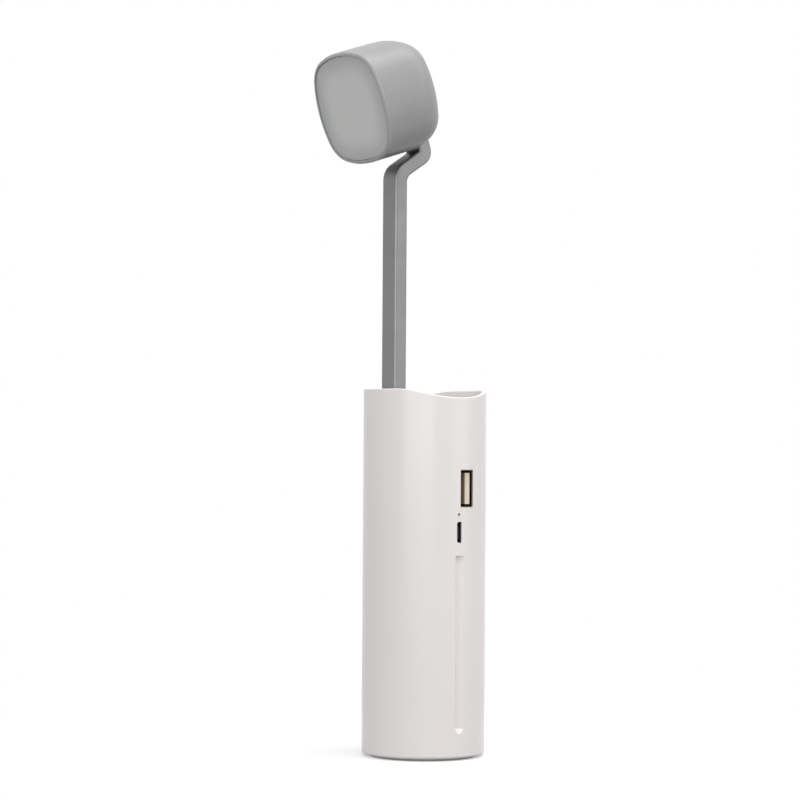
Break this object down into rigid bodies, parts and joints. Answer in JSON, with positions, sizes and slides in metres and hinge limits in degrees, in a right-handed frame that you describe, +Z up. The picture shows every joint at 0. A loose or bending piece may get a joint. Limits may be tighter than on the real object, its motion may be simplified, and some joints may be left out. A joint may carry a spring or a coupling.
{
  "type": "portable desk lamp",
  "caption": "Portable desk lamp: a round white tube body with an open scooped top, a grey bent bar that slides down into it and a rounded-square head that tilts on the bar.",
  "frame": {"origin": "on the body's axis, at the level of the table that the foot rests on", "axes": "+Z up along the body's axis, -Y the way the head faces, +X the side with the sockets"},
  "size_m": [0.0444, 0.0615, 0.2565],
  "materials": {
    "white_shell": "semi-gloss moulded",
    "inner_white": "fine matt",
    "foot_rubber": "matt",
    "steel": "satin",
    "brake_rubber": "matt",
    "black_plastic": "matt",
    "cell_wrap": "shrink film",
    "contact_metal": "plain",
    "board_green": "lacquered board",
    "board_white": "lacquered board",
    "socket_metal": "plated sheet",
    "socket_tongue": "matt",
    "light_pipe": "clear",
    "arm_grey": "satin grey",
    "lead_black": "flat lead",
    "head_grey": "satin grey paint",
    "milky_diffuser": "milky",
    "reflector_white": "matt white",
    "led_yellow": "phosphor"
  },
  "bodies": {
    "base": {"front_shell": "white_shell", "rear_shell": "white_shell", "base_plate": "inner_white", "foot_pad": "foot_rubber", "base_screws": "steel", "deck": "inner_white", "deck_screws": "steel", "arm_guide": "inner_white", "friction_pad": "brake_rubber", "friction_spring": "steel", "battery_cell": "cell_wrap", "battery_cradle": "black_plastic", "battery_contacts": "contact_metal", "main_board": "board_green", "board_components": "black_plastic", "usb_a_shell": "socket_metal", "usb_a_tongue": "socket_tongue", "micro_usb_shell": "socket_metal", "micro_usb_tongue": "black_plastic", "indicator_pipe": "light_pipe"},
    "arm": {"arm_bar": "arm_grey", "arm_lead": "lead_black", "slider_shoe": "black_plastic", "shoe_screw": "steel"},
    "head": {"head_housing": "head_grey", "diffuser": "milky_diffuser", "reflector": "reflector_white", "led_board": "board_white", "led_chips": "led_yellow", "led_screws": "steel", "hinge_pin": "steel", "hinge_washers": "steel", "switch_block": "black_plastic", "switch_board": "board_white"},
    "button": {"switch_button": "head_grey"}
  },
  "joints": [
    {"name": "arm_slide", "type": "slide", "parent": "base", "child": "arm", "axis": [0, 0, 1], "range_m": [-0.076, 0]},
    {"name": "head_tilt", "type": "hinge", "parent": "arm", "child": "head", "pos_m": [0, -0.00758, 0.23135], "axis": [-1, 0, 0], "range_deg": [0, 108]},
    {"name": "switch_press", "type": "slide", "parent": "head", "child": "button", "axis": [0, -0.9511, -0.309], "range_m": [0, 0.0006], "stiffness_N_per_m": 1500, "springref_m": -0.0004}
  ]
}
